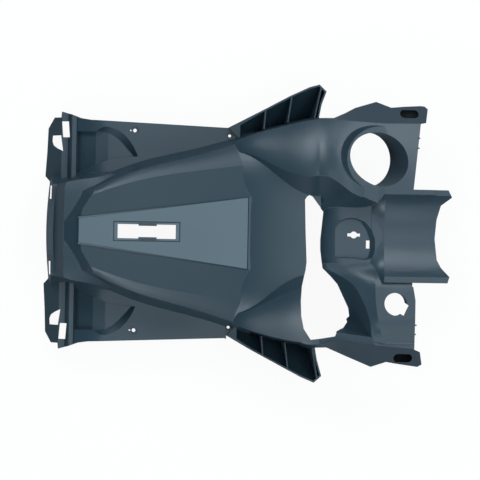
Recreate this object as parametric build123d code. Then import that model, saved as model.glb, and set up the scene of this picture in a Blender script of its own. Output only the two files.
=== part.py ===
"""Inner leg shield of a scooter: one injection-moulded panel with a constant wall.

The panel lies on its back edges with the rider's side up. X runs along the scooter from the
lower end of the tunnel to the steering column, Y across it and Z out of the visible face.
Every region is a volume under the visible face, built twice, at full size and inset by the
wall. The panel is the full size less the inset one, cut to its outline and its openings.
"""

from build123d import *
from math import hypot, radians, tan
import os

WALL = 3.0
DEPTH_BELOW = 80.0
TOP = 260.0
REACH = 420.0

# Foot plates and the joggled flange at the lower end, as a profile in X and Z.
PLATE_Z = 50.0
PLATE_RETURN = 12.0
ROLL_START_X = -225.0
ROLL_END = (-274.0, 37.0)
RIDGE_TOP = ((-283.5, 45.0), (-276.5, 44.0))
STEP_TOP = ((-299.0, 32.0), (-290.5, 32.0))
EAR_TIP = (-329.0, 0.0)
PAN_SPANS = (2, 2, 2, 2, 2, 2, 4, 2)
PAN_OUTLINE = ((-301.0, 192.0), (-285.0, 187.5), (-268.7, 181.5), (-252.7, 179.0), (-31.7, 169.6),
               (-12.0, 179.8), (-12.0, 150.0), (40.0, 150.0))
EAR_OUTLINE = ((-328.0, 90.0), (-325.5, 127.0), (-324.0, 165.0), (-313.5, 182.5), (-302.0, 182.5))

# Sunk fields of the foot plates.
RECESS_DEPTH = 8.0
RECESS_INNER = ((-198.0, 119.0), (-219.5, 116.0), (-251.0, 105.0), (-267.0, 97.0), (-275.0, 92.0))
RECESS_TOP = ((-275.0, 161.0), (-243.0, 161.0), (-225.0, 168.0), (-210.0, 163.5), (-196.0, 153.0),
              (-184.0, 137.0), (-176.5, 121.0)) + RECESS_INNER
RECESS_FLOOR = ((-275.0, 160.0), (-248.0, 160.0), (-223.5, 157.5), (-211.0, 150.5),
                (-200.8, 141.0), (-190.0, 129.0), (-183.0, 121.5)) + RECESS_INNER

# Raised tunnel. Dome half sections: x, crown z, shoulder y and z, foot y.
DOME = (
    (-335.0, 103.0, 64.0, 97.0, 74.0),
    (-295.0, 105.5, 74.0, 97.0, 82.0),
    (-270.0, 107.0, 81.0, 95.0, 92.0),
    (-235.0, 108.0, 87.0, 88.0, 107.0),
    (-203.0, 108.0, 100.0, 72.0, 115.5),
    (-176.0, 106.0, 114.0, 54.0, 118.0),
    (-120.0, 96.0, 112.0, 50.0, 118.0),
)
# End wall of the dome: z, x on the centre line, half width; and the flange before it.
DOME_END = ((-DEPTH_BELOW - 8, -309.5, 94.0), (71.0, -309.5, 94.0), (106.0, -292.0, 86.0), (138.0, -277.0, 80.0))
DOME_END_CORNER = 26.0
END_FLANGE = ((0.0, 69.0), (45.0, 67.5), (74.0, 62.0), (96.0, 0.0))
END_FLANGE_FACE = ((-DEPTH_BELOW, -341.0, 98.0), (80.0, -317.0, 94.0))
END_FLANGE_CORNER = 20.0
END_ARCH = (88.0, 42.0)

# Deck half sections: x, strip y, shoulder y and z, edge y and z.
DECK_Z = 120.0
DECK = (
    (-290.0, 15.4, 41.6, 116.8, 52.0, 111.4),
    (-219.0, 25.0, 67.0, 115.0, 80.0, 107.0),
    (-176.0, 31.0, 80.0, 114.0, 97.0, 105.0),
    (-92.0, 44.0, 96.5, 112.5, 120.0, 99.5),
    (-20.0, 54.0, 106.0, 111.0, 142.0, 92.0),
    (10.0, 58.0, 110.0, 110.0, 150.0, 89.0),
)
DECK_DRAFT = 15.0
# Sloping front of the deck, from its foot on the dome to its top.
FRONT_Z = (107.0, 118.5)
FRONT_FOOT = ((-288.0, 14.0), (-274.0, 34.0), (-254.0, 61.5), (-235.0, 76.4), (-205.0, 100.0))
FRONT_TOP = ((-267.5, 14.0), (-261.0, 33.0), (-246.0, 53.0), (-234.0, 66.0), (-205.0, 98.0))
# Raised strip along the deck, as corners of its foot and of its top.
STRIP_RISE = 1.8
STRIP_FOOT = ((-268.0, 22.5), (4.0, 58.5))
STRIP_TOP = ((-266.0, 18.5), (2.5, 56.5))

# Deck past the crease, rising to the opening: x and centre z.
DECK_RIGHT = ((-16.0, 113.5), (7.0, 120.0), (36.0, 125.5), (64.0, 129.0), (118.0, 132.8))

# Arms and shoulders, half sections: x, edge y, z and slope, crest y, slope, foot y, z, draft.
LEFT_ARM = (
    (-26.0, 141.0, 84.0, 0.6, 126.0, 0.1, 112.0, 72.0, 4.0),
    (7.0, 157.5, 103.0, 0.65, 125.5, 0.05, 112.0, 96.0, 4.0),
    (36.0, 166.0, 111.0, 0.65, 112.0, 0.05, 88.0, 106.0, 4.0),
    (67.0, 174.0, 120.0, 0.65, 98.0, 0.05, 62.0, 112.0, 4.0),
    (92.0, 180.0, 127.0, 0.65, 92.0, 0.05, 46.0, 112.0, 4.0),
    (114.0, 183.5, 132.0, 0.62, 93.0, 0.05, 40.0, 112.0, 5.0),
)
LEFT_HUMP = (
    (114.0, 183.5, 132.0, 0.62, 93.0, 0.05, 40.0, 112.0, 5.0),
    (136.0, 183.0, 136.0, 0.60, 88.0, 0.05, 38.0, 112.0, 14.0),
    (160.0, 181.5, 136.0, 0.50, 71.0, 0.02, 38.0, 112.0, 24.0),
    (186.0, 180.0, 131.0, 0.40, 60.0, 0.02, 40.0, 112.0, 28.0),
)
LEFT_SHOULDER = (
    (186.0, 180.0, 131.0, 0.40, 60.0, 0.02, 40.0, 112.0, 28.0),
    (207.0, 179.0, 126.5, 0.37, 51.0, 0.03, 46.0, 105.0, 28.0),
    (219.0, 178.5, 124.0, 0.36, 66.0, 0.05, 60.0, 100.0, 28.0),
    (300.0, 180.5, 107.0, 0.33, 66.0, 0.08, 60.0, 80.0, 28.0),
)
RIGHT_ARM = (
    (-26.0, 141.0, 84.0, 0.6, 126.0, 0.1, 112.0, 72.0, 4.0),
    (7.0, 154.0, 103.0, 0.65, 122.5, 0.05, 110.0, 96.0, 4.0),
    (36.0, 162.0, 111.0, 0.65, 108.0, 0.05, 84.0, 106.0, 4.0),
    (67.0, 168.5, 120.0, 0.65, 93.0, 0.05, 60.0, 112.0, 4.0),
    (92.0, 172.0, 127.0, 0.65, 86.0, 0.05, 50.0, 112.0, 4.0),
    (120.0, 175.0, 133.0, 0.65, 90.0, 0.05, 50.0, 112.0, 4.0),
)
RIGHT_STRAP = (
    (90.0, 172.0, 126.5, 0.60, 158.0, 0.10, 150.0, 90.0, 4.0),
    (114.0, 175.0, 131.0, 0.60, 160.0, 0.10, 150.0, 90.0, 8.0),
    (136.0, 170.0, 135.0, 0.60, 156.0, 0.10, 148.0, 90.0, 16.0),
    (160.0, 166.0, 138.0, 0.50, 156.0, 0.10, 148.0, 90.0, 26.0),
)
RIGHT_SHOULDER = (
    (160.0, 166.0, 138.0, 0.50, 156.0, 0.10, 148.0, 90.0, 26.0),
    (207.0, 174.0, 139.0, 0.30, 162.0, 0.10, 150.0, 100.0, 28.0),
    (300.0, 182.0, 120.0, 0.30, 168.0, 0.10, 150.0, 90.0, 28.0),
)

# Zone round the key plate, as a profile in X and Z, and its reach across.
KEY_ZONE_Z = 124.0
KEY_ZONE = ((100.0, 60.0), (112.0, 92.0), (119.0, 106.0), (128.0, 114.5), (140.0, 119.5), (154.0, 121.8),
            (167.0, 122.5), (207.0, 124.0), (237.0, 116.0))
KEY_ZONE_SPANS = (7, 2, 2)
KEY_ZONE_Y = (-60.0, 56.0)
# Sunk field of the key plate, at its rim and at its floor.
KEY_RIM = ((139.2, 11.1), (147.0, 22.4), (159.7, 27.4), (174.1, 27.7), (188.6, 22.4), (200.0, 9.0),
           (205.1, -7.0), (205.4, -23.0), (200.8, -35.8), (192.9, -39.2), (167.3, -37.2), (140.0, -36.9))
KEY_FLOOR = ((140.7, 10.5), (148.0, 21.0), (160.0, 25.6), (172.5, 25.9), (183.0, 20.5), (191.5, 8.0),
             (197.0, -7.0), (198.0, -23.0), (195.0, -34.0), (189.0, -37.2), (167.3, -35.6), (141.5, -35.3))
KEY_DEPTH = 7.0
KEY_HOLE = (171.4, 0.4)
KEY_HOLE_R = 5.5
KEY_ARMS = (20.0, 4.8)
KEY_SLOT = (194.0, -14.4, 5.6, 12.8)

# Switch side, profiles at each y: flank foot, flank middle, crest left, crest right, far end.
SWITCH_SIDE = (
    (-45.0, (100.0, 96.0), (115.0, 111.0), (128.0, 119.0), (204.0, 125.0), (300.0, 102.0)),
    (-60.0, (105.0, 92.0), (125.0, 110.0), (142.0, 122.0), (204.0, 134.0), (300.0, 112.0)),
    (-79.0, (120.0, 84.0), (146.0, 102.0), (171.0, 130.0), (206.0, 144.0), (300.0, 122.0)),
    (-100.0, (130.0, 78.0), (160.0, 102.0), (185.0, 139.0), (207.0, 147.0), (300.0, 126.0)),
    (-119.0, (135.0, 76.0), (168.0, 102.0), (193.0, 143.0), (209.0, 149.0), (300.0, 128.0)),
    (-145.0, (130.0, 76.0), (172.0, 104.0), (200.0, 144.0), (214.0, 147.0), (300.0, 126.0)),
    (-172.0, (125.0, 80.0), (176.0, 108.0), (210.0, 138.0), (226.0, 139.0), (300.0, 122.0)),
)

# Trough over the steering column: x, bottom z and rise of the rim, with flat rims outside it.
TROUGH = ((199.0, 124.0, 0.5), (220.0, 120.8, 24.0), (345.0, 89.6, 24.0))
TROUGH_HALF = 65.0
TROUGH_RIM = 9.0
TROUGH_FREE_X = 265.5

# Dish round the bay: centre, tilts, radius of its floor and grade of its wall.
BAY_DISH = (213.0, 120.7, 141.5)
BAY_DISH_TILT = (-16.0, 4.0)
BAY_DISH_R = 55.0
BAY_DISH_GRADE = 0.8

# Round holes with tubes on sloping faces: x, y, z of the rim, radius, lean of the axis.
BAY = (212.4, 120.7, 144.5, 43.0, 30.0)
BAY_TUBE = 42.0
SWITCH_HOLE = (239.7, -108.3, 141.6, 18.0, 28.0)
SWITCH_TUBE = 4.0
SWITCH_NOTCH = ((251.0, -103.8), (259.8, -110.0), (252.1, -126.1), (244.0, -122.2), (240.0, -112.0))

# Long cups in the side flanges: x, y, floor z; and their length and width.
CUPS = ((258.3, 195.6, 66.0), (254.1, -194.9, 68.0))
CUP_SIZE = (30.0, 14.0)

# Slot in the deck's strip: ends and half width, of the sunk frame and of the opening.
FRAME = (-209.7, -106.0, 14.6)
FRAME_DEPTH = 1.6
SLOT = (-204.1, -111.7, 11.2)

# Grooves round the key plate and the slot's frame.
GROOVE_WIDTH = 1.4
GROOVE_DEPTH = 1.2

# Screw holes: x, y, radius of the hole, its boss and its counterbore.
SCREWS = (
    (-182.0, 162.9, 3.0, 7.5, 6.0), (-178.6, -159.5, 3.0, 7.5, 6.0),
    (-29.1, 156.9, 2.4, 6.0, 4.2), (-25.9, -151.9, 2.4, 6.0, 4.2),
)
BOSS_LENGTH = 9.0
COUNTERBORE = 1.5
PIN_HOLES = ((-188.6, 162.8), (-185.2, -159.4))
PIN_HOLE_R = 1.3

# Holes of the ears and of the end flange, on the +Y side.
EAR_WINDOW = ((-316.3, 153.3), (-301.9, 153.6), (-298.2, 128.0), (-307.9, 132.7), (-314.4, 137.3),
              (-316.9, 143.7))
EAR_SLOT = ((-300.7, 176.0), (-289.5, 176.2), (-287.4, 150.6), (-298.6, 150.4))
EDGE_SLOT = (-316.0, 61.0, 4.8, 22.0)

# Wings: rim z at two x, slope of the sheet below, and vanes as x, y, x, y from rim to arm.
WING_RIM = ((-72.0, 52.0), (-32.0, 56.0), (166.0, 76.0))
WING_START_X = -15.0
WING_FOOT = (113.0, 186.0)
WING_GRADE = (-0.428, 1.09)
WING_END_X = 109.5
VANE_THICKNESS = 2.5
VANE_LEAN = 7.0
LEFT_VANES = ((28.7, 199.0, 26.0, 158.0), (69.9, 221.0, 62.6, 168.0), (116.1, 236.0, 104.1, 176.0))
RIGHT_VANES = ((30.8, 195.0, 27.0, 150.0), (71.2, 219.0, 64.0, 163.0), (117.8, 233.0, 107.4, 172.0))

# Lower edges of the arms' and shoulders' walls, as a profile in X and Z past the plates.
LOWER_EDGE = ((-26.0, 36.0), (7.0, 18.0), (113.0, 0.0), (126.0, 0.0), (134.0, 96.0), (160.0, 55.0),
              (340.0, 55.0))

# Plan outline of the shield past the foot plates, from the left side round to the right side.
LEFT_EDGE = (
    (-31.7, 169.6), (19.0, 196.1), (66.6, 221.8), (98.3, 236.8), (114.2, 241.1), (125.6, 230.1),
    (118.0, 209.1), (113.7, 186.0), (136.0, 185.5), (155.0, 194.6), (171.0, 203.7),
    (206.0, 215.5), (230.0, 206.0), (251.0, 208.3), (283.0, 210.5), (289.0, 205.0),
    (284.0, 181.0), (275.4, 179.0), (271.3, 141.5), (264.5, 74.0), (304.6, 74.0),
)
TROUGH_END = (
    (320.5, 75.0), (327.0, 62.4), (309.7, 49.3), (303.7, 26.8), (301.3, -4.0), (304.9, -37.2),
    (311.5, -49.8), (325.0, -64.0), (321.5, -75.0),
)
RIGHT_EDGE = (
    (-29.0, -165.0), (10.0, -187.0), (58.0, -212.0), (91.0, -229.0), (113.0, -238.0),
    (125.0, -227.0), (117.4, -200.6), (113.8, -181.0), (131.0, -180.0), (162.0, -193.4),
    (204.0, -211.0), (228.0, -202.0), (242.0, -204.5), (279.0, -209.7), (285.5, -205.5),
    (280.0, -184.1), (270.6, -180.2), (270.8, -101.8), (266.0, -74.0), (304.6, -74.0),
)
WING_POINTS = 8

# Central opening, counterclockwise.
OPENING = (
    (95.9, 59.9), (92.8, 55.0), (94.5, 5.5), (97.0, -44.1), (95.6, -56.9), (89.7, -82.6),
    (88.5, -105.1), (89.7, -129.0), (94.1, -149.8), (105.6, -167.2), (124.7, -164.4),
    (143.9, -160.9), (146.9, -153.6), (158.1, -148.6), (164.3, -138.9), (162.6, -134.1),
    (167.3, -129.3), (165.5, -116.5), (157.2, -99.0), (147.2, -78.4), (135.8, -65.8),
    (122.7, -53.2), (119.0, -24.5), (118.7, -8.5), (122.7, 36.4), (104.7, 60.1), (99.9, 62.4),
)


def inset_line(points, inset):
    """An open outline moved to its right-hand side by a distance, with mitred corners."""
    normals = []
    for (a, b), (c, d) in zip(points, points[1:]):
        length = hypot(c - a, d - b)
        normals.append(((d - b) / length, (a - c) / length))
    before = [normals[0]] + normals
    after = normals + [normals[-1]]
    moved = []
    for (y, z), m, n in zip(points, before, after):
        reach = inset / (1 + m[0] * n[0] + m[1] * n[1])
        moved.append((y + (m[0] + n[0]) * reach, z + (m[1] + n[1]) * reach))
    return moved


def grown(points, distance):
    """A closed clockwise outline moved outwards by a distance, with mitred corners."""
    ring = [points[-1]] + list(points) + [points[0]]
    return inset_line(ring, -distance)[1:-1]


def face_under(plane, points, spans, inset=0.0):
    """A face below an outline; spans gives how many points each edge of it runs through."""
    points = inset_line(points, inset)
    edges = []
    start = 0
    for span in spans:
        stretch = points[start:start + span]
        edges.append(Line(*stretch) if span == 2 else Spline(*stretch))
        start += span - 1
    first, last = points[0], points[-1]
    base = -DEPTH_BELOW - inset
    edges.append(Polyline(last, (last[0], base), (first[0], base), first))
    return plane * make_face(edges)


def mirrored(half):
    """A whole outline from its half on the +Y side, which starts on the centre line."""
    return [(-y, z) for y, z in reversed(half[1:])] + list(half)


def across(x):
    """The plane of a cross-section, with Y to its right and Z up."""
    return Plane.YZ.offset(x)


def along(y):
    """The plane of a lengthwise section, with X to its right and Z up."""
    return Plane.XZ.offset(-y)


def plan_face(points, level):
    """A flat face on a plan outline."""
    return Pos(0, 0, level) * make_face(Polyline(*points, close=True))


def plan_prism(points, low, high):
    """An upright prism on a plan outline."""
    return extrude(plan_face(points, low), high - low)


def box_outline(x0, x1, half):
    return [(x0, -half), (x1, -half), (x1, half), (x0, half)]


def pan_line():
    """The foot plates' profile from the ear's tip to the right, with the joggle and the ridge."""
    return [EAR_TIP, (STEP_TOP[0][0] - 2, STEP_TOP[0][1]), *STEP_TOP, *RIDGE_TOP, ROLL_END,
            (-262.0, 42.4), (-245.0, 48.0), (ROLL_START_X, PLATE_Z), (30.0, PLATE_Z)]


def pan(inset):
    """The foot plates with their ears and return flanges."""
    slab = extrude(face_under(along(0), pan_line(), PAN_SPANS, inset), REACH / 2, both=True)
    half = inset_line(EAR_OUTLINE + PAN_OUTLINE, inset)
    outline = half + [(x, -y) for x, y in reversed(half)]
    return slab & plan_prism(outline, -DEPTH_BELOW, TOP)


def well_face(points, level):
    """A flat face on the outline of a sunk field, whose second to seventh points are one curve."""
    ends = Line(*points[:2]), Polyline(*points[6:], points[0])
    return Pos(0, 0, level) * make_face([ends[0], Spline(*points[1:7]), ends[1]])


def recess(inset):
    """The sunk fields of the foot plates, with a sloping outer wall."""
    floor = grown(RECESS_FLOOR, inset)
    top = grown(RECESS_TOP, inset)
    levels = ((floor, -DEPTH_BELOW), (floor, PLATE_Z - RECESS_DEPTH), (top, PLATE_Z), (top, TOP))
    well = loft([well_face(points, z) for points, z in levels], ruled=True)
    line = [(-300.0, 25.3)] + pan_line()[6:]
    line = inset_line([(x, z - RECESS_DEPTH) for x, z in line], inset)
    above = make_face(Polyline(*line, (line[-1][0], TOP), (line[0][0], TOP), close=True))
    well = well & extrude(along(0) * above, REACH / 2, both=True)
    return well + mirror(well, Plane.XZ)


def dome(inset):
    """The rounded lower part of the tunnel."""
    sections = []
    for x, crown, shoulder_y, shoulder_z, foot_y in DOME:
        middle = (shoulder_y * 0.6, crown - (crown - shoulder_z) * 0.3)
        half = [(0, crown), middle, (shoulder_y, shoulder_z), (foot_y + 4, 0)]
        sections.append(face_under(across(x), mirrored(half), (2, 5, 2), inset))
    return loft(sections)


def rounded_end(left, half, corner, level, bow):
    """A plan outline closed far to the right, with a bowed left edge and rounded corners."""
    far = -100.0
    start = left + bow
    outline = [
        ThreePointArc((start, -half + corner), (left, 0), (start, half - corner)),
        RadiusArc((start, half - corner), (start + corner, half), corner),
        Polyline((start + corner, half), (far, half), (far, -half), (start + corner, -half)),
        RadiusArc((start + corner, -half), (start, -half + corner), corner),
    ]
    return Pos(0, 0, level) * make_face(outline)


def dome_end(inset):
    """The block behind the dome's end wall, upright at the flange and drafted above it."""
    faces = [rounded_end(x + inset, half - inset, DOME_END_CORNER, z, 4.0) for z, x, half in DOME_END]
    return loft(faces, ruled=True)


def end_flange(inset):
    """The low arched flange before the dome's end wall."""
    arch = extrude(face_under(across(-345), mirrored(END_FLANGE), (2, 5, 2), inset), 75)
    faces = [rounded_end(x + inset, half - inset, END_FLANGE_CORNER, z, 7.0) for z, x, half in END_FLANGE_FACE]
    return arch & loft(faces, ruled=True)


def deck(inset):
    """The flat top of the tunnel, with its shoulders and side walls."""
    sections = []
    for x, strip_y, shoulder_y, shoulder_z, edge_y, edge_z in DECK:
        middle = (shoulder_y * 0.45 + edge_y * 0.55, shoulder_z * 0.55 + edge_z * 0.45)
        foot = (edge_y + edge_z * tan(radians(DECK_DRAFT)), 0)
        half = [(0, DECK_Z), (strip_y, DECK_Z), (shoulder_y, shoulder_z), middle, (edge_y, edge_z), foot]
        outline = mirrored(half)
        outline.pop(len(half) - 1)
        sections.append(face_under(across(x), outline, (2, 3, 2, 2, 2, 3, 2), inset))
    return loft(sections) - deck_front(inset)


def deck_front(inset):
    """What lies left of the deck's sloping front, above the dome."""
    low, high = FRONT_Z
    faces = []
    for level, shift in ((low - 11.5 - inset, -1.0), (high + 11.5, 2.0)):
        part = (level + (inset if shift < 0 else 0) - low) / (high - low)
        side = [(a + (c - a) * part + inset, b + (d - b) * part)
                for (a, b), (c, d) in zip(FRONT_FOOT, FRONT_TOP)]
        side = side + [(-205.0, 150.0), (-400.0, 150.0)]
        faces.append(plan_face([(x, -y) for x, y in side[::-1]] + side, level))
    return loft(faces, ruled=True)


def strip(inset):
    """The raised strip along the deck."""
    faces = []
    for side, z in ((STRIP_FOOT, DECK_Z), (STRIP_TOP, DECK_Z + STRIP_RISE)):
        side = [(x, y - inset) for x, y in side]
        faces.append(plan_face(side + [(x, -y) for x, y in side[::-1]], z - inset))
    return loft(faces, ruled=True)


def deck_right(inset):
    """The deck past the crease, rising to the opening."""
    sections = []
    for x, centre in DECK_RIGHT:
        half = [(0, centre), (60, centre - 0.5), (108, centre - 6), (146, centre - 22)]
        sections.append(face_under(across(x), mirrored(half), (7,), inset))
    return loft(sections)


def arm(stations, inset, ruled=False):
    """One stretch of an arm or a shoulder, on the +Y side."""
    sections = []
    for x, edge_y, edge_z, edge_slope, crest_y, crest_slope, foot_y, foot_z, draft in stations:
        width = edge_y - crest_y
        crown = []
        for t in (1.0, 0.67, 0.33, 0.0):
            rise = width * (edge_slope * t - (edge_slope - crest_slope) * t * t / 2)
            crown.append((edge_y - width * t, edge_z + rise))
        flank = ((crest_y + foot_y) / 2, (crown[0][1] + foot_z) / 2)
        wall_foot = (edge_y + (edge_z + 20) * tan(radians(draft)), -20)
        outline = [(foot_y, foot_z), flank] + crown + [wall_foot]
        sections.append(face_under(across(x), outline, (3, 4, 2), inset))
    return loft(sections, ruled=ruled)


def arms(inset):
    """Both arms with their shoulders, from the foot plates to the far edge."""
    left = [arm(LEFT_ARM, inset), arm(LEFT_HUMP, inset), arm(LEFT_SHOULDER, inset, ruled=True)]
    right = [arm(RIGHT_ARM, inset), arm(RIGHT_STRAP, inset), arm(RIGHT_SHOULDER, inset, ruled=True)]
    return left + [mirror(solid, Plane.XZ) for solid in right]


def key_zone(inset):
    """The flat zone round the key plate, rolling down to the opening."""
    low, high = KEY_ZONE_Y
    return extrude(face_under(along(low), KEY_ZONE, KEY_ZONE_SPANS, inset), -(high - low))


def key_pocket(inset):
    """The sunk field of the key plate."""
    levels = ((KEY_FLOOR, KEY_ZONE_Z - KEY_DEPTH - inset), (KEY_RIM, KEY_ZONE_Z), (KEY_RIM, TOP))
    return loft([plan_face(grown(points, inset), z) for points, z in levels], ruled=True)


def switch_side(inset):
    """The side of the ignition switch, with its swept flank."""
    sections = []
    for y, *outline in SWITCH_SIDE:
        sections.append(face_under(along(y), outline, (3, 2, 2), inset))
    return loft(sections)


def trough_section(x, bottom, rise, rim, inset):
    """The trough across one x: an arc between two flat rims."""
    radius = (TROUGH_HALF ** 2 + rise ** 2) / (2 * rise)
    level = bottom + rise - inset
    half = ((radius + inset) ** 2 - (radius - rise + inset) ** 2) ** 0.5
    outer = TROUGH_HALF + rim
    return across(x) * make_face([
        ThreePointArc((-half, level), (0, bottom - inset), (half, level)),
        Polyline((half, level), (outer, level), (outer, -DEPTH_BELOW), (-outer, -DEPTH_BELOW),
                 (-outer, level), (-half, level)),
    ])


def trough(inset):
    """The saddle over the steering column with its flat rims."""
    return loft([trough_section(*station, TROUGH_RIM - inset, inset) for station in TROUGH], ruled=True)


def under_trough_end():
    """The space below the free end of the trough, so that no walls hang there."""
    body = loft([trough_section(*station, 30.0, WALL) for station in TROUGH[1:]], ruled=True)
    return body & (Pos(TROUGH_FREE_X + 100, 0, 50) * Box(200, 400, 400))


def bay_dish(inset):
    """The dish that steps down round the bay."""
    height = 40.0
    low = BAY_DISH_R + inset
    cone = Cone(low, low + height * BAY_DISH_GRADE, height, align=(Align.CENTER, Align.CENTER, Align.MIN))
    tilt_x, tilt_y = BAY_DISH_TILT
    return Pos(*BAY_DISH) * Rot(tilt_x, tilt_y, 0) * Pos(0, 0, -inset) * cone


def under_skin(inset):
    """Everything below the visible face, or below the face moved in by the inset."""
    lower = pan(inset) - recess(inset)
    tunnel = (dome(inset) & dome_end(inset)) + end_flange(inset) + deck(inset) + strip(inset)
    upper = deck_right(inset) + key_zone(inset) + switch_side(inset) + trough(inset)
    for solid in arms(inset):
        upper = upper + solid
    return lower + tunnel + (upper - key_pocket(inset) - bay_dish(inset))


def keep_prism():
    """The plan outline of the whole panel."""
    outline = ((-345.0, 200.0), (-31.7, 200.0)) + LEFT_EDGE + TROUGH_END + RIGHT_EDGE[::-1]
    return plan_prism(outline + ((-29.0, -200.0), (-345.0, -200.0)), -DEPTH_BELOW, TOP)


def below_edges():
    """What is cut away under the return flanges, the arms and the shoulders."""
    (x0, z0), (x1, z1) = pan_line()[:2]
    meeting = x0 + (PLATE_RETURN - z0) * (x1 - x0) / (z1 - z0)
    plates = [(x, z - PLATE_RETURN) for x, z in pan_line()[1:-1]]
    line = [(-345.0, 0.0), (meeting, 0.0)] + plates + [(-40.0, PLATE_Z - PLATE_RETURN)] + list(LOWER_EDGE)
    base = -DEPTH_BELOW - 10
    face = make_face(Polyline(*line, (line[-1][0], base), (line[0][0], base), close=True))
    half, height = END_ARCH
    arch = make_face([ThreePointArc((-half, 0), (0, height), (half, 0)), Line((half, 0), (-half, 0))])
    return extrude(along(0) * face, REACH, both=True) + extrude(across(-345.0) * arch, 34)


def above_sheet(lift):
    """The space above a wing's sloping sheet, raised by a distance along its normal."""
    grade_x, grade_y = WING_GRADE
    plane = Plane(origin=(*WING_FOOT, 0), z_dir=(-grade_x, -grade_y, 1))
    return plane * Pos(0, 0, lift + REACH / 2) * Box(2 * REACH, 2 * REACH, REACH)


def wing(edge, stations, vanes):
    """A louvred wing beside the arm, on the +Y side: a sloping sheet with a rim and vanes."""
    rim = [(x, abs(y)) for x, y in edge[:WING_POINTS]]
    arm_foot = [(x, y + z * tan(radians(draft)) - 2.5) for x, y, z, _, _, _, _, _, draft in stations[1:5]]
    back = [(WING_START_X, arm_foot[0][1] - 9)] + arm_foot
    plan = rim + back[::-1]
    hollow = inset_line(rim, WALL)
    hollow = [(WING_START_X + WALL, hollow[0][1] + 7)] + hollow[1:-1] + [(WING_END_X, 176.0)]
    hollow = hollow + [(x, y - 6) for x, y in arm_foot[::-1]] + [(WING_START_X + WALL, back[0][1] - 6)]
    line = face_under(along(0), WING_RIM, (2, 2))
    body = plan_prism(plan, 0, TOP) & above_sheet(0) & extrude(line, REACH, both=True)
    slats = []
    lean = tan(radians(VANE_LEAN))
    height = WING_RIM[2][1]
    for x, y, u, v in vanes:
        x, u = x - height * lean, u - height * lean
        foot = plan_face([(x, y), (x + VANE_THICKNESS, y), (u + VANE_THICKNESS, v), (u, v)], 0)
        slats.append(extrude(foot, height * 1.2, dir=(lean, 0, 1)) & body)
    return (body - (plan_prism(hollow, 0, TOP) & above_sheet(WALL))) + slats


def leaning(x, y, z, radius, lean, low, high):
    """A cylinder whose axis passes through a point and leans in X, from low to high along it."""
    return Pos(x, y, z) * Rot(0, lean, 0) * Pos(0, 0, (low + high) / 2) * Cylinder(radius, high - low)


def oval(x, y, low, high, margin=0.0):
    """An upright block with round ends."""
    length, width = CUP_SIZE
    face = SlotOverall(length + 2 * margin, width + 2 * margin)
    return extrude(Pos(x, y, low) * face, high - low)


def groove(points, level):
    """A narrow groove round a sunk field, outside its outline."""
    outside = plan_prism(grown(points, GROOVE_WIDTH), level - GROOVE_DEPTH, TOP)
    return outside - plan_prism(points, level - 2 * GROOVE_DEPTH, TOP)


def fittings(outer):
    """Tubes, cups and screw bosses behind the panel, kept below the visible face."""
    parts = [
        leaning(*BAY[:3], BAY[3] + WALL, BAY[4], -BAY_TUBE, 40) & outer,
        leaning(*SWITCH_HOLE[:3], SWITCH_HOLE[3] + WALL, SWITCH_HOLE[4], -SWITCH_TUBE, 40) & outer,
    ]
    parts += [oval(x, y, z - WALL, z + 50, WALL) & outer for x, y, z in CUPS]
    parts += [Pos(x, y, PLATE_Z - BOSS_LENGTH / 2) * Cylinder(boss, BOSS_LENGTH) for x, y, _, boss, _ in SCREWS]
    return parts


def holes():
    """Every hole that goes into or through the wall."""
    cutters = [
        plan_prism(OPENING, -DEPTH_BELOW, TOP),
        leaning(*BAY, -90, 60),
        leaning(*SWITCH_HOLE, -60, 60),
        plan_prism(SWITCH_NOTCH, 90, TOP),
        plan_prism(box_outline(*SLOT), 60, TOP),
        plan_prism(box_outline(*FRAME), DECK_Z + STRIP_RISE - FRAME_DEPTH, TOP),
        groove(box_outline(*FRAME)[::-1], DECK_Z + STRIP_RISE - FRAME_DEPTH / 2),
        Pos(*KEY_HOLE, KEY_ZONE_Z) * Cylinder(KEY_HOLE_R, 60),
        Pos(*KEY_HOLE, KEY_ZONE_Z) * Box(*KEY_ARMS, 60),
        Pos(*KEY_SLOT[:2], KEY_ZONE_Z) * Box(*KEY_SLOT[2:], 60),
    ]
    cutters += [oval(x, y, z, TOP) for x, y, z in CUPS]
    for x, y, radius, _, wide in SCREWS:
        cutters.append(Pos(x, y, PLATE_Z) * Cylinder(radius, 40))
        cutters.append(Pos(x, y, PLATE_Z) * Cylinder(wide, 2 * COUNTERBORE))
    cutters += [Pos(x, y, PLATE_Z) * Cylinder(PIN_HOLE_R, 40) for x, y in PIN_HOLES]
    x, y, width, length = EDGE_SLOT
    for side in (1, -1):
        for outline in (EAR_WINDOW, EAR_SLOT):
            cutters.append(plan_prism([(a, side * b) for a, b in outline], -20, 90))
        cutters.append(Pos(x, side * y, 60) * Box(width, length, 120))
    return cutters


def leg_shield():
    """The finished panel, centred over the origin with its lowest edges at z = 0."""
    outer = under_skin(0)
    panel = outer - under_skin(WALL)
    panel = panel + fittings(outer)
    panel = panel & keep_prism()
    panel = panel - [below_edges(), under_trough_end()]
    panel = panel + wing(LEFT_EDGE, LEFT_ARM, LEFT_VANES)
    panel = panel + mirror(wing(RIGHT_EDGE, RIGHT_ARM, RIGHT_VANES), Plane.XZ)
    panel = panel - holes()
    box = panel.bounding_box()
    return Pos(-box.center().X, -box.center().Y, -box.min.Z) * panel


if __name__ == "__main__":
    os.makedirs("parts", exist_ok=True)
    panel = leg_shield()
    print("leg_shield", panel.is_valid, [round(solid.volume) for solid in panel.solids()], panel.bounding_box())
    export_step(panel, "parts/leg_shield.step")
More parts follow.
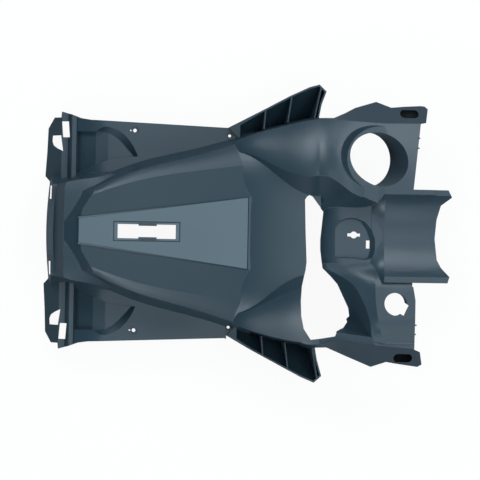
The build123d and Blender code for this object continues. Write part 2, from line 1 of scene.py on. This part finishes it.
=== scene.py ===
# %% [markdown]
# # A scooter's leg shield
# The leg shield is the inner panel in front of the rider's knees. It is one injection-moulded panel of
# polypropylene, three millimetres thick, with a raised tunnel, two foot plates, louvred wings, a trough
# over the steering column and a round bay. Its shape comes from the CAD frame, in metres. This lesson
# gives that shape a smooth skin, a moulded plastic surface, a few small tabs, a floor, lamps and a camera.

# %% Load the frame
from math import pi, radians

import bmesh
import bpy
from mathutils import Matrix, Vector


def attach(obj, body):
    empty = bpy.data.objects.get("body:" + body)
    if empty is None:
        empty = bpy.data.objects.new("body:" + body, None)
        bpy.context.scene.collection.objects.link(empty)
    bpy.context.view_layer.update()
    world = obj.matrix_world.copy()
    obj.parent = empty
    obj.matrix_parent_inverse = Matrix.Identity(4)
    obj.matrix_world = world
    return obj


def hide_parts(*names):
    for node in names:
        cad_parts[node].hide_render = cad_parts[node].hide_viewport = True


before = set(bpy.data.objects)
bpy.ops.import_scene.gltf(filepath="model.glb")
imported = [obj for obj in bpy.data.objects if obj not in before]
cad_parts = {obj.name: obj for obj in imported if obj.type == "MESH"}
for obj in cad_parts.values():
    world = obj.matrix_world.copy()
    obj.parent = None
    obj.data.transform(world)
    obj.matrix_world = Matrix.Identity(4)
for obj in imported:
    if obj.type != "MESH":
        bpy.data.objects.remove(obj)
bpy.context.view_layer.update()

# %% [markdown]
# Every mesh is built in a bmesh, a workbench of points, edges and faces. When a shape is done it is poured
# into an object, and the object joins the scene. A piece's object stays at the origin, unturned, with its
# place in its mesh, because patterns on Object coordinates would slide if the object moved.

# %% From a bmesh to an object


def add_object(name, data):
    """An object in the scene, made from a mesh, a lamp or a camera."""
    item = bpy.data.objects.new(name, data)
    bpy.context.scene.collection.objects.link(item)
    return item


def pour(shape, name):
    """An object from a bmesh, which is freed."""
    mesh = bpy.data.meshes.new(name)
    shape.to_mesh(mesh)
    shape.free()
    return add_object(name, mesh)


print("helpers ready")

# %% [markdown]
# The CAD node arrives with each of its faces apart from its neighbours. On a real moulding the light
# glides over each swept face and breaks only where two faces meet at an angle. So a copy of the node is
# merged point to point and shaded smooth. Borders between CAD faces stay sharp where the two sides meet
# at more than a few degrees, and other edges only where they fold. The copy then stands for the node.

# %% Merge the panel's triangles
MERGE_DISTANCE = 0.00001
CREASE_ANGLE = radians(5)
FOLD_ANGLE = radians(20)


def merged_copy(node, name):
    """A smooth object from a CAD node's mesh, sharp only at the creases between its CAD faces."""
    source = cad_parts[node]
    skin = bmesh.new()
    skin.from_mesh(source.data)
    bmesh.ops.transform(skin, matrix=source.matrix_world, verts=skin.verts)
    border = skin.edges.layers.int.new("border")
    for edge in skin.edges:
        edge[border] = int(edge.is_boundary)
    bmesh.ops.remove_doubles(skin, verts=skin.verts, dist=MERGE_DISTANCE)
    bmesh.ops.dissolve_degenerate(skin, edges=skin.edges, dist=MERGE_DISTANCE)
    for face in skin.faces:
        face.smooth = True
    for edge in skin.edges:
        edge.smooth = edge.calc_face_angle(pi) < (CREASE_ANGLE if edge[border] else FOLD_ANGLE)
    return pour(skin, name)


panel = merged_copy("leg_shield", "moulded_panel")
weighted = panel.modifiers.new("even_normals", "WEIGHTED_NORMAL")
weighted.keep_sharp = True
weighted.mode = "FACE_AREA_WITH_ANGLE"
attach(panel, "root")
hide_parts("leg_shield")
creases = sum(1 for edge in panel.data.edges if edge.use_edge_sharp)
print("panel", len(panel.data.vertices), "points", len(panel.data.polygons), "faces", creases, "sharp edges")

# %% [markdown]
# A material is a small network of nodes. One function adds a node with its settings and links, and
# another turns an sRGB colour, as a colour picker gives it, into the linear values that Blender mixes.

# %% Helpers for materials
SRGB_KNEE = 0.04045
SRGB_SLOPE = 12.92
SRGB_LIFT = 0.055
SRGB_POWER = 2.4
WHITE = "#ffffff"


def linear(colour):
    """Linear red, green, blue and alpha from an sRGB hex colour."""
    parts = [int(colour[start:start + 2], 16) / 255 for start in (1, 3, 5)]
    return [part / SRGB_SLOPE if part <= SRGB_KNEE else ((part + SRGB_LIFT) / (1 + SRGB_LIFT)) ** SRGB_POWER
            for part in parts] + [1.0]


def add_node(tree, kind, settings=None, inputs=None):
    """A node with its settings, and with its inputs set to values or linked to sockets."""
    node = tree.nodes.new(kind)
    for key, value in (settings or {}).items():
        setattr(node, key, value)
    for key, value in (inputs or {}).items():
        if isinstance(value, bpy.types.NodeSocket):
            tree.links.new(value, node.inputs[key])
        else:
            node.inputs[key].default_value = value
    return node


def new_material(name):
    """A material with an empty network."""
    material = bpy.data.materials.new(name)
    material.use_nodes = True
    material.node_tree.nodes.clear()
    return material


print("helper check, mid grey", [round(value, 3) for value in linear("#808080")])

# %% [markdown]
# The panel is black-blue polypropylene, moulded in a tool with a fine etched grain. Polypropylene has an
# IOR of 1.49, and the etched grain spreads the highlight to a satin sheen. The grain of a real tool is
# about 0.3 mm wide, which is finer than a pixel of the picture, so it is drawn at about 1.2 mm, and very
# shallow. A slow change of roughness stands for the uneven gloss of a large moulding. The raised strip
# along the tunnel has a coarser grain, which scatters more light and looks paler. The third finish is
# painted shade: a dull near-black colour for the insides of two deep cups, which light hardly reaches,
# and its IOR is close enough to share. A bevel node rounds the shading at each edge, as the tool's radii do.

# %% Grained finishes
EDGE_RADIUS = 0.001
EDGE_SAMPLES = 6
GRAIN_DEPTH = 0.00003
GRAIN_DETAIL = 2.0
GRAIN_MIX = 0.55
GRAIN_STRENGTH = 0.5
GLOSS_PATCH = 0.09
GLOSS_DETAIL = 1.0
GLOSS_NOISE = (0.3, 0.7)
GLOSS_SPREAD = 0.06
PP_IOR = 1.49
FINISHES = {
    "fine_grain_polypropylene": {"colour": "#2a3d47", "roughness": 0.34, "grain": 0.0012},
    "coarse_grain_polypropylene": {"colour": "#54656d", "roughness": 0.46, "grain": 0.002},
    # The near-black colour below is painted shade inside the two deep cups, not a real lining.
    "painted_cup_shade": {"colour": "#0c0f14", "roughness": 0.85, "grain": 0.003},
}


def grained_finish(name, colour, roughness, grain):
    """A grained material of one colour, least roughness and grain width."""
    material = new_material(name)
    tree = material.node_tree
    place = add_node(tree, "ShaderNodeTexCoord").outputs["Object"]
    speckle = add_node(tree, "ShaderNodeTexNoise", inputs={
        "Vector": place, "Scale": 1 / grain, "Detail": GRAIN_DETAIL, "Roughness": GRAIN_MIX})
    rounded = add_node(tree, "ShaderNodeBevel", {"samples": EDGE_SAMPLES}, {"Radius": EDGE_RADIUS})
    bump = add_node(tree, "ShaderNodeBump", inputs={
        "Height": speckle.outputs["Fac"], "Distance": GRAIN_DEPTH, "Strength": GRAIN_STRENGTH,
        "Normal": rounded.outputs["Normal"]})
    patch = add_node(tree, "ShaderNodeTexNoise", inputs={
        "Vector": place, "Scale": 1 / GLOSS_PATCH, "Detail": GLOSS_DETAIL})
    gloss = add_node(tree, "ShaderNodeMapRange", inputs={
        "Value": patch.outputs["Fac"], "From Min": GLOSS_NOISE[0], "From Max": GLOSS_NOISE[1],
        "To Min": roughness, "To Max": roughness + GLOSS_SPREAD})
    surface = add_node(tree, "ShaderNodeBsdfPrincipled", inputs={
        "Base Color": linear(colour), "IOR": PP_IOR, "Roughness": gloss.outputs["Result"],
        "Normal": bump.outputs["Normal"]})
    add_node(tree, "ShaderNodeOutputMaterial", inputs={"Surface": surface.outputs["BSDF"]})
    return material


panel.data.materials.clear()
for name, look in FINISHES.items():
    panel.data.materials.append(grained_finish(name, **look))
print("finishes", list(FINISHES))

# %% [markdown]
# Each face of the panel gets one of the three finishes. The strip's top is the only flat face that lies a
# little above the deck, so its faces are found by their height and their normal. The two long cups at the
# column's corners are found by their place. They look black in the picture, and what lines them can't be
# seen, so the foam is a guess. They are deep and look black, because light hardly reaches in, so their
# insides get the near-black painted shade; what lines them can't be seen.

# %% Finish of the strip and painted shade in the cups
PLAIN, STRIP, PAINTED_SHADE = range(3)
STRIP_HEIGHTS = (0.1201, 0.1219)
STRIP_END = 0.01
STRIP_HALF = 0.07
LEVEL_NORMAL = 0.995
CUP_PLACES = ((0.2588, 0.19405, 0.0659), (0.2546, -0.19645, 0.0679))
CUP_HALF = (0.0153, 0.0073)


def finish_of(face):
    """The slot number of a face's finish."""
    spot = face.center
    # Faces inside the two deep cups get the near-black painted shade.
    for x, y, floor_height in CUP_PLACES:
        if abs(spot.x - x) < CUP_HALF[0] and abs(spot.y - y) < CUP_HALF[1] and spot.z > floor_height:
            return PAINTED_SHADE
    level = STRIP_HEIGHTS[0] < spot.z < STRIP_HEIGHTS[1] and face.normal.z > LEVEL_NORMAL
    return STRIP if level and spot.x < STRIP_END and abs(spot.y) < STRIP_HALF else PLAIN


counts = [0] * len(FINISHES)
for face in panel.data.polygons:
    face.material_index = finish_of(face)
    counts[face.material_index] += 1
print("faces with each finish", dict(zip(FINISHES, counts)))

# %% [markdown]
# Small moulded tabs hold the neighbours: one on each long side of the slot, and four pins on the edges
# beside the column that locate the next panel. They are too small for the CAD part, so they are made here
# as bevelled blocks. Each is sunk into the panel's wall, at the height where a ray from above meets the
# panel a little way in from the edge. For the slot that way is longer, to step over the groove round it.

# %% Tabs
TAB_EDGE = 0.0004
TAB_SEGMENTS = 2
SLOT_TAB = (0.029, 0.0042, 0.0026)
SLOT_TABS = ((-0.1560, 0.0095), (-0.1560, -0.0126))
SLOT_SEAT = 0.006
EDGE_PIN = (0.0065, 0.0022, 0.0022)
EDGE_PINS = ((0.27175, 0.1545), (0.27065, 0.1385), (0.27045, -0.1425), (0.26965, -0.1573))
PIN_SEAT = 0.003
RAY_START = 0.3
RAY_STEP = 0.001
RAY_STEPS = 8


def height_near(x, y, seat):
    """The panel's height beside a point, from the nearest ray that meets it."""
    for step in range(RAY_STEPS):
        reach = seat + RAY_STEP * step
        for place in ((x - reach, y), (x, y + reach), (x, y - reach)):
            met, point, _, _ = panel.ray_cast((*place, RAY_START), (0, 0, -1))
            if met:
                return point.z
    raise ValueError("no panel near this tab")


def add_tabs(name, places, size, seat):
    """One piece of bevelled blocks of one size, each just under the panel's surface."""
    blocks = bmesh.new()
    for x, y in places:
        z = height_near(x, y, seat) - size[2] / 2 - TAB_EDGE
        print(name, "at", x, y, "height", round(z, 4))
        placed = Matrix.Translation((x, y, z)) @ Matrix.Diagonal((*size, 1.0))
        bmesh.ops.create_cube(blocks, size=1.0, matrix=placed)
    bmesh.ops.bevel(blocks, geom=blocks.edges[:], offset=TAB_EDGE, segments=TAB_SEGMENTS, profile=0.5,
                    affect="EDGES", material=-1)
    piece = pour(blocks, name)
    piece.data.materials.append(panel.data.materials[PLAIN])
    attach(piece, "root")


bpy.context.view_layer.update()
add_tabs("slot_tabs", SLOT_TABS, SLOT_TAB, SLOT_SEAT)
add_tabs("edge_pins", EDGE_PINS, EDGE_PIN, PIN_SEAT)

# %% [markdown]
# The floor is a pale plane that the panel rests on. Light Path makes it nearly white to the camera, as a
# product picture's background is, while it still takes the panel's soft shadow. The panel mirrors only a
# little of that white, because all of it would wash the dark flanges out, and the panel has no metal or
# glass that would need it. What the floor scatters back is a dimmer grey, so that the hollows stay dark.

# %% Floor
FLOOR_HALF = 6.0
FLOOR_COLOUR = "#f2f2f2"
FLOOR_BOUNCE = "#8c8f92"
WHITE_TO_THE_EYE = 0.93
WHITE_IN_GLOSS = 0.05
# A Mix node's colour sockets share their names with its other kinds, so they are taken by number.
COLOUR_A, COLOUR_B, COLOUR_OUT = 6, 7, 2


def maths(tree, operation, first, second):
    """A product or the greater value of two sockets or numbers."""
    return add_node(tree, "ShaderNodeMath", {"operation": operation}, {0: first, 1: second}).outputs["Value"]


def seen_white(tree):
    """One where the camera looks, straight or through glass, else nought, and the path node's outputs."""
    path = add_node(tree, "ShaderNodeLightPath").outputs
    return maths(tree, "MAXIMUM", path["Is Camera Ray"], path["Is Transmission Ray"]), path


def blend_to_output(tree, share, first, second, output):
    """The output node, fed by a mix of two shaders."""
    mix = add_node(tree, "ShaderNodeMixShader", inputs={"Fac": share, 1: first, 2: second})
    add_node(tree, output, inputs={"Surface": mix.outputs["Shader"]})


def pale_floor():
    """A matt floor that is nearly white to the camera."""
    material = new_material("pale_floor")
    tree = material.node_tree
    seen, path = seen_white(tree)
    to_the_eye = maths(tree, "MULTIPLY", seen, WHITE_TO_THE_EYE)
    in_gloss = maths(tree, "MULTIPLY", path["Is Glossy Ray"], WHITE_IN_GLOSS)
    colour = add_node(tree, "ShaderNodeMix", {"data_type": "RGBA"}, {
        "Factor": seen, COLOUR_A: linear(FLOOR_BOUNCE), COLOUR_B: linear(FLOOR_COLOUR)})
    matte = add_node(tree, "ShaderNodeBsdfDiffuse", inputs={"Color": colour.outputs[COLOUR_OUT]})
    white = add_node(tree, "ShaderNodeEmission", inputs={"Color": linear(WHITE), "Strength": 1.0})
    blend_to_output(tree, maths(tree, "MAXIMUM", to_the_eye, in_gloss), matte.outputs["BSDF"],
                    white.outputs["Emission"], "ShaderNodeOutputMaterial")
    return material


ground = bmesh.new()
bmesh.ops.create_grid(ground, x_segments=1, y_segments=1, size=FLOOR_HALF)
floor = pour(ground, "floor")
floor.data.materials.append(pale_floor())
print("floor", 2 * FLOOR_HALF, "m wide")

# %% [markdown]
# A dark satin panel shows mostly what it mirrors, so the lamps stand where its slopes look. The arms
# lean outwards and towards the lower end, and lamps on both sides near that end light them. Nothing
# stands straight beyond the lower end, so what faces it stays darker. Softer lamps on the column's side
# light what faces the column, and a weak one overhead lights the flat faces. Their powers are set so that
# a plain matt grey panel renders about as its grey is written, which keeps the plastic's own colour true.
# The camera sees the air behind the floor as white, while its light on the panel is very weak.

# %% Lamps and world
LAMPS = (
    ("overhead_softbox", (0.0, 0.0, 3.2), 1.4, 16.5),
    ("far_end_softbox", (-1.2, 2.0, 2.0), 1.0, 30.0),
    ("near_end_softbox", (-1.2, -2.0, 2.0), 1.0, 25.0),
    ("far_side_softbox", (0.2, 2.5, 2.0), 1.2, 12.0),
    ("near_side_softbox", (-1.0, -2.5, 1.2), 1.0, 10.0),
    ("far_column_softbox", (1.5, 1.8, 2.0), 1.6, 39.0),
    ("near_column_softbox", (1.5, -1.8, 2.0), 1.4, 13.5),
    ("near_high_softbox", (1.0, -1.3, 2.6), 1.0, 6.5),
    ("column_softbox", (1.8, 0.0, 2.6), 1.4, 14.5),
)
LAMP_COLOUR = "#ecf7ff"
LAMP_AIM = (0.0, 0.0, 0.1)
WORLD_COLOUR = "#e9edf2"
WORLD_STRENGTH = 0.03


def add_lamp(name, place, size, power):
    """A square softbox that looks at the panel's middle."""
    data = bpy.data.lights.new(name, "AREA")
    data.shape = "SQUARE"
    data.size = size
    data.energy = power
    data.color = linear(LAMP_COLOUR)[:3]
    lamp = add_object(name, data)
    lamp.location = place
    lamp.rotation_euler = (Vector(LAMP_AIM) - Vector(place)).to_track_quat("-Z", "Y").to_euler()


for lamp in LAMPS:
    add_lamp(*lamp)
world = bpy.data.worlds.new("studio")
world.use_nodes = True
air = world.node_tree
air.nodes.clear()
dim = add_node(air, "ShaderNodeBackground", inputs={
    "Color": linear(WORLD_COLOUR), "Strength": WORLD_STRENGTH})
bright = add_node(air, "ShaderNodeBackground", inputs={"Color": linear(WHITE), "Strength": 1.0})
blend_to_output(air, seen_white(air)[0], dim.outputs["Background"], bright.outputs["Background"],
                "ShaderNodeOutputWorld")
bpy.context.scene.world = world
print("lamps", len(LAMPS))

# %% [markdown]
# The picture is taken from straight above with a long lens. A long lens keeps the walls of the openings
# almost hidden, so the camera stands five metres up and its lens is worked out from the picture's width.

# %% Camera
PICTURE_WIDTH = 0.768
SENSOR_WIDTH = 36.0
CAMERA_HEIGHT = 5.0
FACE_HEIGHT = 0.09
FAR_LIMIT = 50.0
CAMERA_XY = (-0.0088, -0.0124)
CAMERA_TURN = radians(1.03)

camera_data = bpy.data.cameras.new("camera")
camera_data.sensor_width = SENSOR_WIDTH
camera_data.lens = SENSOR_WIDTH * (CAMERA_HEIGHT - FACE_HEIGHT) / PICTURE_WIDTH
camera_data.clip_end = FAR_LIMIT
camera = add_object("camera", camera_data)
camera.location = (*CAMERA_XY, CAMERA_HEIGHT)
camera.rotation_euler = (0.0, 0.0, CAMERA_TURN)
bpy.context.scene.camera = camera
bpy.context.scene.view_settings.view_transform = "Standard"
print("lens", round(camera_data.lens, 1), "mm")
